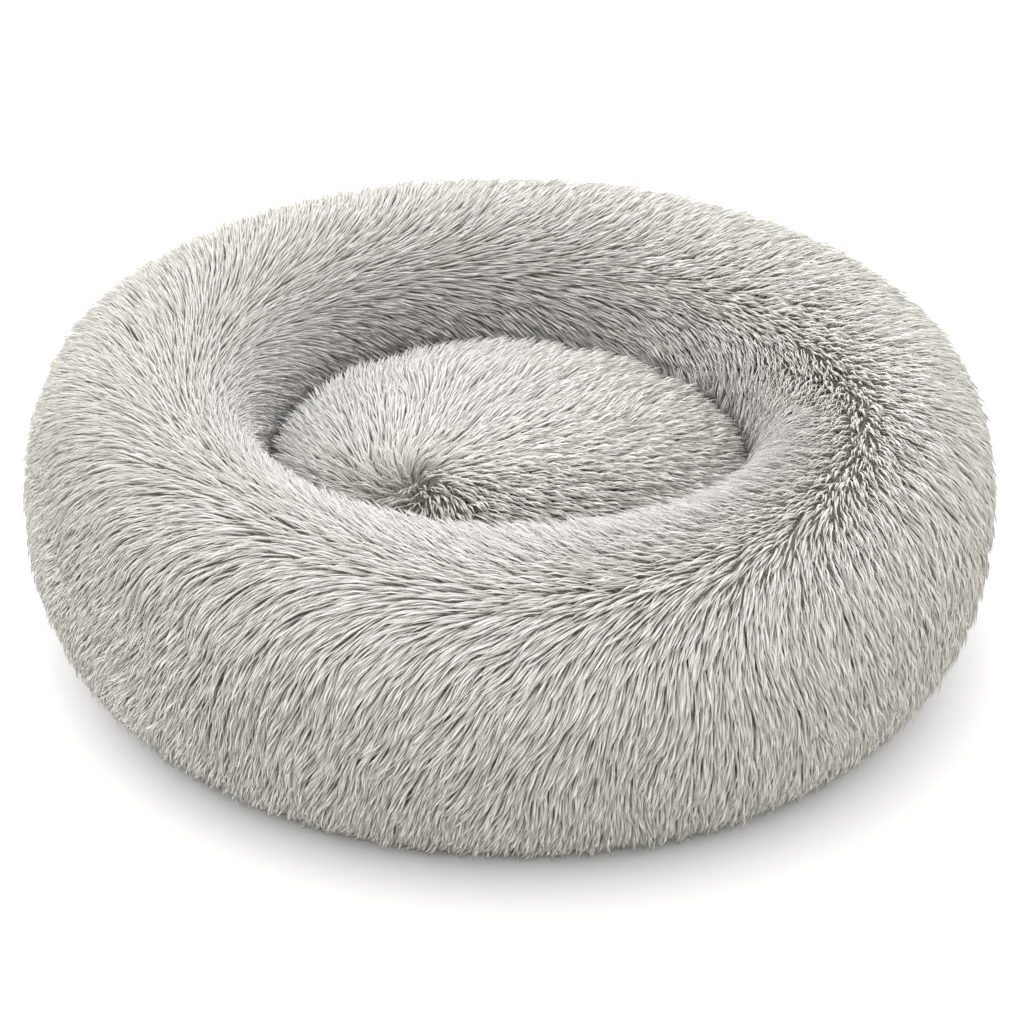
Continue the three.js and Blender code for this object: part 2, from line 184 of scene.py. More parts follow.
def spun(name, outline, steps, closed=True, start=0, end=360):
    """Turns an anticlockwise outline round the Z axis. A closed outline over part of a turn gets end caps."""
    shape = bmesh.new()
    first = math.radians(start)
    loop = [shape.verts.new((r * math.cos(first), r * math.sin(first), z)) for r, z in outline]
    edges = [shape.edges.new((loop[i], loop[i + 1])) for i in range(len(loop) - 1)]
    whole = end - start == 360
    geom = loop + edges
    if closed:
        geom.append(shape.edges.new((loop[-1], loop[0])))
    if not whole:
        geom.append(shape.faces.new(loop))
    bmesh.ops.spin(shape, geom=geom, cent=(0, 0, 0), axis=(0, 0, 1), angle=math.radians(end - start),
                   steps=steps, use_merge=whole)
    if not closed:
        bmesh.ops.remove_doubles(shape, verts=shape.verts[:], dist=1e-6)
    bmesh.ops.recalc_face_normals(shape, faces=shape.faces[:])
    made = bpy.data.objects.new(name, bpy.data.meshes.new(name))
    shape.to_mesh(made.data)
    shape.free()
    bpy.context.scene.collection.objects.link(made)
    for face in made.data.polygons:
        face.use_smooth = True
    return made


def fading(distance, width, power=2):
    """1 where the distance is 0, fading to 0 beyond about this width."""
    return np.exp(-((np.abs(distance) / width) ** power))


def eased(places):
    """Places on the round ring, moved to where the soft one lies.

    The front sags. The sides press on the cushion, and the front and the back give way from it."""
    radius, bearing = np.hypot(places[:, 0], places[:, 1]), np.arctan2(places[:, 1], places[:, 0])
    inner = np.clip((RING_MIDDLE - radius) / (RING_ACROSS / 2), 0, 1)
    from_left = (bearing - LEFT_PRESS_BEARING + math.pi) % (2 * math.pi) - math.pi
    press = (SIDE_PRESS * np.cos(2 * bearing) + RIGHT_PRESS * np.cos(bearing)
             + LEFT_PRESS * fading(from_left, LEFT_PRESS_ARC))
    moved = radius - inner * press
    upper = np.clip((places[:, 2] - RING_LEVEL) / RING_HALF_HEIGHT, 0, 1)
    from_front = (bearing + math.pi / 2 + math.pi) % (2 * math.pi) - math.pi
    sag = FRONT_SAG * upper * fading(from_front, FRONT_SAG_ARC)
    return np.stack([moved * np.cos(bearing), moved * np.sin(bearing), places[:, 2] - sag], 1)


def places_of(piece):
    """The piece's corners as an array."""
    flat = np.empty(len(piece.data.vertices) * 3, np.float32)
    piece.data.vertices.foreach_get("co", flat)
    return flat.reshape(-1, 3).astype(float)


def put(piece, places):
    """Moves the piece's corners to these places."""
    piece.data.vertices.foreach_set("co", places.astype(np.float32).reshape(-1))
    piece.data.update()


def stuffed(piece, held, cap):
    """Blows the piece up as stuffing does. The held corners are sewn down, and none moves beyond cap."""
    before = places_of(piece)
    group = piece.vertex_groups.new(name="sewn")
    group.add([int(i) for i in np.flatnonzero(held)], 1, "REPLACE")
    cloth = piece.modifiers.new("stuffing", "CLOTH")
    cloth.settings.use_pressure = True
    cloth.settings.uniform_pressure_force = STUFFING_PRESSURE
    cloth.settings.effector_weights.gravity = 0
    cloth.settings.vertex_group_mass = group.name
    cloth.settings.quality = 5
    for step in range(1, STUFFING_STEPS + 1):
        bpy.context.scene.frame_set(step)
    blown = piece.evaluated_get(bpy.context.evaluated_depsgraph_get())
    after = np.array([v.co[:] for v in blown.data.vertices])
    piece.modifiers.remove(cloth)
    piece.vertex_groups.remove(group)
    bpy.context.scene.frame_set(1)
    move = after - before
    reach = np.linalg.norm(move, axis=1, keepdims=True)
    placed = before + move * np.minimum(1, cap / np.maximum(reach, 1e-9))
    placed[:, 2] = np.maximum(placed[:, 2], before[:, 2].min())
    put(piece, placed)


ring_skin = spun("ring_backing", ring_outline(PILE_RISE + RING_SWELL), RING_TURN_STEPS)
put(ring_skin, eased(places_of(ring_skin)))
corners = places_of(ring_skin)
round_at = np.degrees(np.arctan2(corners[:, 1], corners[:, 0]))
sewn = corners[:, 2] < RING_FOOT + 1e-4
for seam, _ in GORE_SEAMS.values():
    sewn |= np.abs((round_at - seam + 180) % 360 - 180) < 180 / RING_TURN_STEPS
stuffed(ring_skin, sewn, 2 * RING_SWELL)
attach(ring_skin, "ring")
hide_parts(*covers)

# A warp-knit polyester ground, seen only as the dark between the roots of the pile.
backing, backing_shader = material("knitted polyester backing", Roughness=0.95)
tree = backing.node_tree
where = node(tree, "ShaderNodeTexCoord")
stitches = node(tree, "ShaderNodeTexVoronoi", {"Vector": where.outputs["Object"], "Scale": 700.0})
shade = node(tree, "ShaderNodeValToRGB", {"Fac": stitches.outputs["Distance"]})
shade.color_ramp.elements[0].color = srgb("bdb7ac")
shade.color_ramp.elements[1].color = srgb("aaa499")
tree.links.new(shade.outputs["Color"], backing_shader.inputs["Base Color"])
ring_skin.data.materials.append(backing)

# Ring casing.
# A thin white bag of spun-bonded cloth inside the cover. It holds the fibre while the cover is off to be
# washed.
CASING_DEPTH = 0.003

casing_skin = spun("ring_casing_cloth", ring_outline(PILE_RISE + RING_SWELL + CASING_DEPTH),
                   RING_TURN_STEPS // 2)
put(casing_skin, eased(places_of(casing_skin)))
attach(casing_skin, "ring")
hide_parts("ring_casing")
# Spun-bonded cloth: dull white, with the small pressed dots that hold its fibres together.
casing, casing_shader = material("spun-bonded polypropylene", Base_Color=srgb("efeeea"), Roughness=0.85)
tree = casing.node_tree
where = node(tree, "ShaderNodeTexCoord")
dots = node(tree, "ShaderNodeTexVoronoi", {"Vector": where.outputs["Object"], "Scale": 600.0})
dents = node(tree, "ShaderNodeBump", {"Height": dots.outputs["Distance"], "Distance": 0.0001,
                                      "Strength": 0.4})
tree.links.new(dents.outputs["Normal"], casing_shader.inputs["Normal"])
casing_skin.data.materials.append(casing)

# Ring stuffing.
# Loose polyester fibre, blown into the casing until it is tight. Nothing fixes it to the casing.
stuffing = spun("ring_stuffing", ring_outline(PILE_RISE + RING_SWELL + 2 * CASING_DEPTH),
                RING_TURN_STEPS // 2)
put(stuffing, eased(places_of(stuffing)))
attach(stuffing, "ring")
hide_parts("ring_fill")
# Crimped fibre: soft white tangled lumps about a centimetre across, with a faint sheen.
fibre, fibre_shader = material("polyester fibrefill", Base_Color=srgb("f6f5f2"), Roughness=1.0,
                               Sheen_Weight=0.3)
tree = fibre.node_tree
where = node(tree, "ShaderNodeTexCoord")
tangle = node(tree, "ShaderNodeTexNoise", {"Vector": where.outputs["Object"], "Scale": 90.0,
                                           "Detail": 8.0})
lumps = node(tree, "ShaderNodeBump", {"Height": tangle.outputs["Fac"], "Distance": 0.004, "Strength": 0.7})
tree.links.new(lumps.outputs["Normal"], fibre_shader.inputs["Normal"])
stuffing.data.materials.append(fibre)

# Pile.
# Polyester fur about 28 mm long that sets in fine pointed locks about 1.5 mm wide. Each lock is one closed,
# three-sided spike with two bends: it leans out of the backing and then lies over the way it was brushed.
LOCK_SPACING = 0.0026
LOCK_LENGTH = 0.030
LOCK_WIDTH = 0.0016
LOCK_BENDS = (0.34, 0.68)
LENGTH_SPREAD = (0.72, 1.12)
WIDTH_SPREAD = (0.6, 1.3)
GIRTHS = (0.7, 1.0, 0.85)
# For each part of a lock, its lean out of the cloth in degrees and its share of the sideways bow.
LEANS = ((46, 0), (23, 0.5), (5, 1.4))
LEAN_SPREAD = 5
ROOT_DEPTH = 0.0015
STRAY = 0.07
RUFFLED_STRAY = 0.2
LEAST_STRAY = 0.03
TUFT = 0.0055
TUFT_WOBBLE = 0.002
TUFT_PULL = (0.25, 0.85)
FLOOR_GAP = 0.0012
TONES = 32
DARKEST = 0.97

# Brushed polyester fibre: pale and soft with hardly any gloss, darker at the roots, and each lock in one of
# 32 tones. The darker root is partly the fibre's own colour and partly painted shade deep in the pile.
fur, fur_shader = material("polyester long-pile faux fur", Roughness=0.8, Sheen_Weight=0.05,
                           Sheen_Roughness=0.6, Specular_IOR_Level=0.08)
tree = fur.node_tree
chart = node(tree, "ShaderNodeUVMap", uv_map="OFBake")
parts = node(tree, "ShaderNodeSeparateXYZ", {"Vector": chart.outputs["UV"]})
up_lock = node(tree, "ShaderNodeValToRGB", {"Fac": parts.outputs["Y"]})
ramp = up_lock.color_ramp
# The root colour is partly painted shade deep in the pile.
ramp.elements[0].color = srgb("cbc5b9")
ramp.elements[1].color = srgb("eae8e5")
middle = ramp.elements.new(0.42)
middle.color = srgb("ebe9e4")
tones = node(tree, "ShaderNodeMix", {0: parts.outputs["X"], 6: up_lock.outputs["Color"], 7: srgb("d4d1ca")},
             data_type="RGBA", blend_type="MULTIPLY")
tree.links.new(tones.outputs[2], fur_shader.inputs["Base Color"])


def lock_shape():
    """The corners and faces of one upright lock, a unit tall and a unit across.

    It is a closed three-sided spike with a ring of corners at each bend."""
    shape = bmesh.new()
    bmesh.ops.create_cone(shape, cap_ends=True, segments=3, radius1=0.5, radius2=0, depth=1)
    bmesh.ops.translate(shape, verts=shape.verts[:], vec=(0, 0, 0.5))
    for bend in LOCK_BENDS:
        bmesh.ops.bisect_plane(shape, geom=shape.verts[:] + shape.edges[:] + shape.faces[:],
                               plane_co=(0, 0, bend), plane_no=(0, 0, 1))
    bmesh.ops.triangulate(shape, faces=shape.faces[:])
    points = np.array([v.co[:] for v in shape.verts])
    corners = np.array([[v.index for v in f.verts] for f in shape.faces])
    shape.free()
    return points, corners


class Waves:
    """A smooth random field over space, about one unit strong: a sum of plane waves about one size long."""

    def __init__(self, seed, size, count=12):
        draw = np.random.default_rng(seed)
        direction = draw.normal(size=(count, 3))
        direction /= np.linalg.norm(direction, axis=1, keepdims=True)
        self.waves = direction * (2 * math.pi / size) * draw.uniform(0.6, 1.5, (count, 1))
        self.phases = draw.uniform(0, 2 * math.pi, count)

    def at(self, points):
        return np.cos(points @ self.waves.T + self.phases).sum(1) / math.sqrt(len(self.phases) / 2)


def drift(seed, size, spots, count=14):
    """Three smooth random fields with seeds in a row, as a way to push each spot."""
    return np.stack([Waves(seed + i, size, count).at(spots) for i in range(3)], 1)


def unit(vectors):
    return vectors / np.maximum(np.linalg.norm(vectors, axis=1, keepdims=True), 1e-9)


def along_cloth(vectors, out):
    """The same ways, laid flat on a cloth that faces out."""
    return unit(vectors - (vectors * out).sum(1)[:, None] * out)


def spread(outline, seed):
    """Even, jittered places over the surface an outline sweeps round the Z axis.

    Gives each place, the way out of the cloth there, the way along the outline, and the distance along it."""
    draw = np.random.default_rng(seed)
    run = np.concatenate([[0], np.cumsum(np.linalg.norm(np.diff(outline, axis=0), axis=1))])
    rows = int(run[-1] / LOCK_SPACING)
    at, angle = [], []
    for row in (np.arange(rows) + 0.5) * run[-1] / rows:
        count = max(1, int(2 * math.pi * np.interp(row, run, outline[:, 0]) / LOCK_SPACING))
        at.append(np.clip(row + draw.uniform(-0.5, 0.5, count) * LOCK_SPACING, 0, run[-1]))
        jitter = draw.uniform(-0.5, 0.5, count) + draw.uniform()
        angle.append((np.arange(count) + jitter) / count * 2 * math.pi)
    at, angle = np.concatenate(at), np.concatenate(angle)
    radius, height = np.interp(at, run, outline[:, 0]), np.interp(at, run, outline[:, 1])
    slope = np.gradient(outline, run, axis=0)
    along_r, along_z = np.interp(at, run, slope[:, 0]), np.interp(at, run, slope[:, 1])
    cos, sin = np.cos(angle), np.sin(angle)
    place = np.stack([radius * cos, radius * sin, height], 1)
    out = unit(np.stack([along_z * cos, along_z * sin, -along_r], 1))
    along = unit(np.stack([along_r * cos, along_r * sin, along_z], 1))
    return place, out, along, at


def settled(place, piece):
    """The nearest points on the piece."""
    surface = BVHTree.FromPolygons([v.co for v in piece.data.vertices],
                                   [f.vertices for f in piece.data.polygons])
    return np.array([surface.find_nearest(p)[0] for p in place])


def mesh_of(name, placed, corners):
    """A mesh of many locks: placed holds each one's corners, and corners the faces of one."""
    count, size = placed.shape[:2]
    faces = (corners[None] + (np.arange(count) * size)[:, None, None]).reshape(-1)
    mesh = bpy.data.meshes.new(name)
    mesh.vertices.add(count * size)
    mesh.vertices.foreach_set("co", placed.reshape(-1))
    mesh.loops.add(len(faces))
    mesh.loops.foreach_set("vertex_index", faces.astype(np.int32))
    mesh.polygons.add(len(faces) // 3)
    mesh.polygons.foreach_set("loop_start", np.arange(0, len(faces), 3, dtype=np.int32))
    mesh.polygons.foreach_set("loop_total", np.full(len(faces) // 3, 3, np.int32))
    mesh.update(calc_edges=True)
    return mesh


def plant(name, body, seed, spots, roots, out, flow, mess, trim, lift, shade):
    """Plants a lock at each root, leaning out of the cloth and then over along flow.

    Locks gather in tufts by their spots, the places of their roots on the unstuffed cloth. mess ruffles a
    lock, or combs it sleek if it is negative; sleek and ruffled locks also get painted light, their roots
    lightened towards the tip's colour, and sleek ones lighter tones. trim cuts it short, lift stands it up by
    so many degrees, and shade darkens its tone as painted shade."""
    draw = np.random.default_rng(seed)
    points, corners = lock_shape()
    count = len(roots)
    sleek, ruffled = np.clip(-mess, 0, 1), np.clip(mess, 0, 1)
    length = LOCK_LENGTH * draw.uniform(*LENGTH_SPREAD, count) * trim
    width = LOCK_WIDTH * draw.uniform(*WIDTH_SPREAD, count) * (1 - 0.1 * sleek)
    stray = np.maximum(STRAY + RUFFLED_STRAY * mess, LEAST_STRAY)
    veer = draw.normal(0, 1, count) * stray
    flow = along_cloth(flow + veer[:, None] * np.cross(out, flow), out)
    side = np.cross(flow, out)
    bow = draw.normal(0, 1, count) * stray
    ways = []
    for lean, sway in LEANS:
        rise = np.radians(lean + draw.normal(0, LEAN_SPREAD, count) * (1 - 0.6 * sleek) + lift)[:, None]
        ways.append(unit(np.cos(rise) * flow + np.sin(rise) * out + (sway * bow)[:, None] * side))
    levels = np.array((0, *LOCK_BENDS, 1))
    spine = [roots - ROOT_DEPTH * out]
    for way, step in zip(ways, np.diff(levels)):
        spine.append(spine[-1] + way * (length * step)[:, None])

    wobble = drift(41, 0.02, spots, 12) * TUFT_WOBBLE
    _, tuft = np.unique(np.floor((spots + wobble) / TUFT).astype(int), axis=0, return_inverse=True)
    tuft = tuft.reshape(-1)
    sums = np.stack([np.bincount(tuft, spine[-1][:, k]) for k in range(3)], 1)
    gathered = sums / np.bincount(tuft)[:, None]
    share = draw.uniform(*TUFT_PULL, count) * (1 - 0.85 * sleek - 0.5 * ruffled)
    pull = (gathered[tuft] - spine[-1]) * share[:, None]
    spine[-1] = spine[-1] + pull
    spine[-2] = spine[-2] + 0.5 * pull
    for place in spine[1:]:
        sunk = np.maximum(FLOOR_GAP - place[:, 2], 0)
        place[:, :2] += unit(place[:, :2]) * sunk[:, None]
        place[:, 2] += sunk

    ridge = (0.8 - 0.5 * sleek - 0.3 * ruffled)[:, None]
    turn = np.arctan2(points[:, 1], points[:, 0])
    placed = np.empty((count, len(points), 3), np.float32)
    for j, height in enumerate(points[:, 2]):
        level = int(np.abs(levels - height).argmin())
        if level == len(spine) - 1:
            placed[:, j] = spine[-1]
            continue
        up = np.cross(side, ways[level])
        half = (width * GIRTHS[level] / 2)[:, None]
        placed[:, j] = spine[level] + half * (ridge * math.cos(turn[j]) * up + math.sin(turn[j]) * side)
    mesh = mesh_of(name, placed, corners)

    # Random tones, made lighter on sleek locks as painted light and darker by shade as painted shade.
    tone = draw.beta(2, 3, count) * (1 - 0.8 * sleek) + shade
    tone = (np.clip(tone, 0, DARKEST) * TONES).astype(int)
    column = np.tile(0.5 + 0.35 * np.sin(turn[corners].reshape(-1)), count)
    # Painted light: the roots of sleek and ruffled locks are coloured towards the light tip, to lift the
    # shade between the locks.
    painted_root_light = np.repeat(0.85 * sleek + 0.8 * ruffled, corners.size)
    from_root = painted_root_light + (1 - painted_root_light) * np.tile(points[corners, 2].reshape(-1), count)
    chart = np.stack([(np.repeat(tone, corners.size) + column) / TONES, 0.02 + 0.96 * from_root], 1)
    mesh.uv_layers.new(name="OFBake").data.foreach_set("uv", chart.astype(np.float32).reshape(-1))
    made = bpy.data.objects.new(name, mesh)
    bpy.context.scene.collection.objects.link(made)
    made.data.materials.append(fur)
    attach(made, body)


def thickened(locks):
    """The same locks, with a second one at the root of each ruffled one, where the backing would show."""
    ruffled = locks["mess"] > 0.3
    return {key: np.concatenate([each, each[ruffled]]) for key, each in locks.items()}


# Pile of the ring.
# Brushed clockwise along a parting that runs round the top, lower on the front than on the back, and from
# there over the outside and into the well. On the right the parting is tangled, and round the zip and the
# label the pile is cut short.

# Each row starts with a bearing in degrees. PARTING goes on with the parting's distance from the middle in
# millimetres, SWIRL with how many degrees clockwise of straight the pile is brushed, TANGLES with how ruffled
# the parting is, and SLEEK with how sleek the inner shoulder is.
PARTING = [(0, 193), (45, 181), (75, 178), (120, 182), (180, 190), (225, 212), (262, 252), (300, 243),
           (330, 220), (360, 193)]
SWIRL = [(0, 10), (45, 22), (90, 38), (135, 25), (180, 28), (225, 20), (262, 22), (285, 12), (305, -8),
         (335, -2), (360, 10)]
TANGLES = [(0, 0.35), (30, 0.4), (60, 0.4), (75, 0.05), (268, 0), (285, 0.25), (300, 0.35), (360, 0.35)]
SLEEK = [(0, 0.6), (60, 0), (130, 0.3), (160, 1.3), (200, 1.5), (240, 1.4), (320, 1.5), (345, 1.1),
         (360, 0.6)]
LIE_STEPS = 400
BARE_FOOT = 0.003
PARTING_WIDTH = 0.036
TANGLE_WIDTH = 0.013
SLEEK_MIDDLE = 0.036
SLEEK_WIDTH = 0.034
SLEEK_LIFT = 8
CREST_SLEEK = 0.5
CREST_WIDTH = 0.055
RUFFLED_PATCH = np.array([0.065, -0.250, 0.180])
RUFFLED_PATCH_WIDTH = 0.03
SEAM_GAP = 0.2
SEAM_GAP_WIDTH = 0.012
FRONT_RIGHT = 305
FRONT_RIGHT_PAINTED_SHADE = 0.45
ZIP_REACH = (35, 145)
ZIP_LINE = 0.033
ZIP_HEIGHTS = (0.0255, 0.0410)
ZIP_FRINGE = 0.045
SHORTEST = 0.25
LABEL_BEARING = 154
LABEL_BARE_ARC = 2.5
LABEL_HEIGHTS = (0.006, 0.034)


def read_round(bearing, rows):
    """The second values of the rows, read at each bearing."""
    return np.interp(bearing, *np.array(rows, float).T)


lie_line = ring_outline(PILE_RISE, LIE_STEPS)
lie_line = np.concatenate([lie_line, lie_line[:1]])
place, out, along, at = spread(lie_line, 7)
outer = place[:, 0] ** 2 + place[:, 1] ** 2 > RING_MIDDLE ** 2
bearing = np.degrees(np.arctan2(place[:, 1], place[:, 0])) % 360
in_channel = outer & ((bearing > ZIP_REACH[0]) & (bearing < ZIP_REACH[1])
                      & (place[:, 2] > ZIP_HEIGHTS[0]) & (place[:, 2] < ZIP_HEIGHTS[1]))
under_label = outer & (np.abs(bearing - LABEL_BEARING) < LABEL_BARE_ARC) & (place[:, 2] < LABEL_HEIGHTS[1])
held = (place[:, 2] > RING_FOOT + BARE_FOOT) & ~in_channel & ~under_label
place, out, along, at, bearing = place[held], out[held], along[held], at[held], bearing[held]
spots = eased(place)
roots = settled(spots, ring_skin)

# How far each spot lies from the parting along the section: outside it is less than 0, and in the well more.
run = np.concatenate([[0], np.cumsum(np.linalg.norm(np.diff(lie_line, axis=0), axis=1))])
over_top = slice(LIE_STEPS // 2, None, -1)
parting = read_round(bearing, PARTING) / 1000
walk = at - np.interp(parting, lie_line[over_top, 0], run[over_top])
walk = np.where(walk > run[-1] / 2, walk - run[-1], walk)

cos, sin = np.cos(np.radians(bearing)), np.sin(np.radians(bearing))
clockwise = np.stack([sin, -cos, np.zeros(len(cos))], 1)
fall = along * np.sign(walk)[:, None]
swirl = read_round(bearing, SWIRL) + Waves(11, 0.14).at(spots) * 8 + Waves(12, 0.045).at(spots) * 7
turn = np.radians(swirl + (90 - swirl) * fading(walk, PARTING_WIDTH, 1.4))
flow = np.cos(turn)[:, None] * fall + np.sin(turn)[:, None] * clockwise
flow = along_cloth(flow + drift(21, 0.013, spots) * 0.1, out)
# Tangled and sleek locks get painted light in plant, and sleek ones lighter tones too.
tangled = read_round(bearing, TANGLES) * fading(walk + 0.004, TANGLE_WIDTH)
inner_sleek = read_round(bearing, SLEEK) * fading(walk - SLEEK_MIDDLE, SLEEK_WIDTH, 4)
sleek = np.maximum(inner_sleek, CREST_SLEEK * fading(walk + 0.01, CREST_WIDTH, 4))
patch = fading(np.linalg.norm(spots - RUFFLED_PATCH, axis=1), RUFFLED_PATCH_WIDTH)
mess = np.maximum(tangled, patch) * np.clip(0.6 + 0.5 * Waves(31, 0.03).at(spots), 0, 1) - sleek
knots = drift(34, 0.016, spots) * 0.34
flow = along_cloth(flow + np.clip(mess, 0, 1)[:, None] * knots, out)

# The pile parts a little over the seam at the crease on the left.
seam_off = np.radians(bearing - GORE_SEAMS["front_left"][0]) * np.hypot(spots[:, 0], spots[:, 1])
ajar = SEAM_GAP * np.sign(seam_off) * fading(seam_off, SEAM_GAP_WIDTH) * (walk < -0.02)
flow = along_cloth(flow - ajar[:, None] * clockwise, out)

# Cut short round the zip, shortest just above it, and round the label.
above_zip = np.clip(0.28 + (spots[:, 2] - ZIP_HEIGHTS[1]) / ZIP_FRINGE, 0, 1)
past_zip = np.clip(np.abs(bearing - np.mean(ZIP_REACH)) - 54, 0, 8) / 8
near_zip = np.where(spots[:, 2] > ZIP_LINE, above_zip, 0.45) + past_zip
near_label = np.hypot((bearing - LABEL_BEARING) / 3.2, (spots[:, 2] - 0.024) / 0.03)
outside = np.hypot(spots[:, 0], spots[:, 1]) > RING_MIDDLE
trim = np.where(outside, np.clip(np.minimum(near_zip, near_label), SHORTEST, 1), 1)

# Painted shade: the outer wall's tones darken below the parting, most towards the front right.
front_right = np.clip(0.45 + 0.75 * np.cos(np.radians(bearing - FRONT_RIGHT)), 0, 1)
shade = FRONT_RIGHT_PAINTED_SHADE * front_right * np.clip((-walk - 0.03) / 0.08, 0, 1)
locks = thickened({"spots": spots, "roots": roots, "out": out, "flow": flow, "mess": mess, "trim": trim,
                   "lift": SLEEK_LIFT * np.clip(inner_sleek, 0, 1), "bearing": bearing, "shade": shade})
spots, bearing = locks["spots"], locks.pop("bearing")
beyond_middle = np.hypot(spots[:, 0], spots[:, 1]) - RING_MIDDLE
section_turn = np.degrees(np.arctan2(spots[:, 2] - RING_LEVEL, beyond_middle)) % 360
bands = {"foot": section_turn > 270, "shoulder": section_turn < 50,
         "crest": (section_turn >= 50) & (section_turn < 130),
         "inner": (section_turn >= 130) & (section_turn <= 270)}
for gore, (start, end) in GORE_SEAMS.items():
    inside = ((bearing - start) % 360) < (end - start)
    for band, chosen in bands.items():
        pick = inside & chosen
        plant(f"pile_{gore}_{band}", "ring", 5, **{key: each[pick] for key, each in locks.items()})

# Cushion.
# A loose stuffed round cushion, fur above and plain cloth below, with a corded seam round its side. It is
# stuffed full to its rim, and its fur grows in a whorl left of and in front of the middle.
CUSHION_RISE = 0.0005
CUSHION_SWELL = 0.003
CUSHION_ROUNDNESS = 5
CUSHION_TURN_STEPS = 120
CUSHION_SECTION_STEPS = 28
SMOOTH_PATCH = np.array([-0.075, 0.045, 0.13])
SMOOTH_PATCH_WIDTH = 0.1
WHORL = np.array([-0.061, -0.067, 0.13])
WHORL_MESS = 0.6
WHORL_LIFT = 45
RIM_REACH = 0.128
RIM_WIDTH = 0.014
RIM_LIFT = 18

_, top_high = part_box("cushion_top_cover")
under_low, under_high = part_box("cushion_bottom_cover")
CUSHION_REACH, CUSHION_TOP, CUSHION_SEAM, CUSHION_FOOT = top_high.x, top_high.z, under_high.z, under_low.z


def cushion_outline(inset, steps=CUSHION_SECTION_STEPS):
    """The cushion's outline as (radius, height) rows, from the middle of its underside round to its top."""
    turn = np.linspace(-math.pi / 2, math.pi / 2, 2 * steps + 1)
    reach = np.where(turn > 0, CUSHION_TOP - CUSHION_SEAM, CUSHION_SEAM - CUSHION_FOOT) - inset
    radius = (CUSHION_REACH - inset) * np.abs(np.cos(turn)) ** (2 / CUSHION_ROUNDNESS)
    height = CUSHION_SEAM + reach * np.sign(np.sin(turn)) * np.abs(np.sin(turn)) ** (2 / CUSHION_ROUNDNESS)
    radius[[0, -1]] = 0
    return np.stack([radius, height], 1)


cushion_pad = spun("cushion_pad", cushion_outline(CUSHION_RISE + CUSHION_SWELL), CUSHION_TURN_STEPS,
                   closed=False)
corners = places_of(cushion_pad)
stuffed(cushion_pad, corners[:, 2] < CUSHION_SEAM + 0.002, 2 * CUSHION_SWELL)
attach(cushion_pad, "cushion")
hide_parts("cushion_top_cover")
cushion_pad.data.materials.append(backing)

cushion_core = spun("cushion_stuffing", cushion_outline(0.012), CUSHION_TURN_STEPS, closed=False)
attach(cushion_core, "cushion")
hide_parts("cushion_fill")
cushion_core.data.materials.append(fibre)

pile_line = cushion_outline(CUSHION_RISE, 200)[200:]
place, out, along, _ = spread(pile_line, 8)
held = place[:, 2] > CUSHION_SEAM + 0.004
spots, out, along = place[held], out[held], along[held]
roots = settled(spots, cushion_pad)
from_middle = np.hypot(spots[:, 0], spots[:, 1])
outward = spots - WHORL
outward[:, 2] = 0
apart = np.linalg.norm(outward, axis=1)
twist = 0.25 + 0.8 * np.exp(-apart / 0.03)
clockwise = np.stack([outward[:, 1], -outward[:, 0], np.zeros(len(spots))], 1)
rim_fall = np.clip((from_middle - 0.122) / 0.02, 0, 1)[:, None]
flow = unit(outward + twist[:, None] * clockwise) * (1 - 0.5 * rim_fall) - along * rim_fall
clump = drift(24, 0.016, spots) * 0.12
sweep = drift(27, 0.09, spots, 10) * 0.15
flow = along_cloth(flow + clump + sweep, out)
# The smooth patch combs locks sleek, so plant paints them lighter as painted light; the whorl's ruffled roots
# get painted light too.
smooth = 1.4 * fading(np.linalg.norm(spots - SMOOTH_PATCH, axis=1), SMOOTH_PATCH_WIDTH)
mess = (fading(apart, 0.022) * WHORL_MESS + 0.2 * np.clip(Waves(33, 0.04).at(spots), 0, 1)
        - smooth * (apart > 0.015))
lift = RIM_LIFT * fading(from_middle - RIM_REACH, RIM_WIDTH) + WHORL_LIFT * fading(apart, 0.011)
locks = thickened({"spots": spots, "roots": roots, "out": out, "flow": flow, "mess": mess,
                   "trim": np.ones(len(spots)), "lift": lift, "shade": np.zeros(len(spots))})
half = locks["spots"][:, 0] < -0.01
for name, pick in (("cushion_pile_left", half), ("cushion_pile_right", ~half)):
    plant(name, "cushion", 9, **{key: each[pick] for key, each in locks.items()})

# Base cloth.
# Tightly woven grey polyester under the ring, the well and the cushion, with rows of small raised grip dots
# in a darker rubber. A flat twill tape binds its edge, and another covers the seam round the well.
WEAVE_PITCH = 0.0006
DOT_PITCH = 0.012
DOT_RADIUS = 0.00156
TWILL_PITCH = 0.0011
TWILL_BEND = 0.25
EDGE = 0.0003


def tiled(tree, source, pitch):
    """Position across one tile of a square grid, from 0 to 1 each way."""
    scaled = node(tree, "ShaderNodeVectorMath", {0: source, 1: (1 / pitch, 1 / pitch, 1 / pitch)},
                  operation="MULTIPLY")
    return node(tree, "ShaderNodeVectorMath", {0: scaled.outputs[0]}, operation="FRACTION").outputs[0]


def threads_along(tree, source, pitch):
    """Threads this far apart along the source, as a wave from -1 to 1."""
    phase = node(tree, "ShaderNodeMath", {0: source, 1: 2 * math.pi / pitch}, operation="MULTIPLY")
    return node(tree, "ShaderNodeMath", {0: phase.outputs[0]}, operation="SINE").outputs[0]


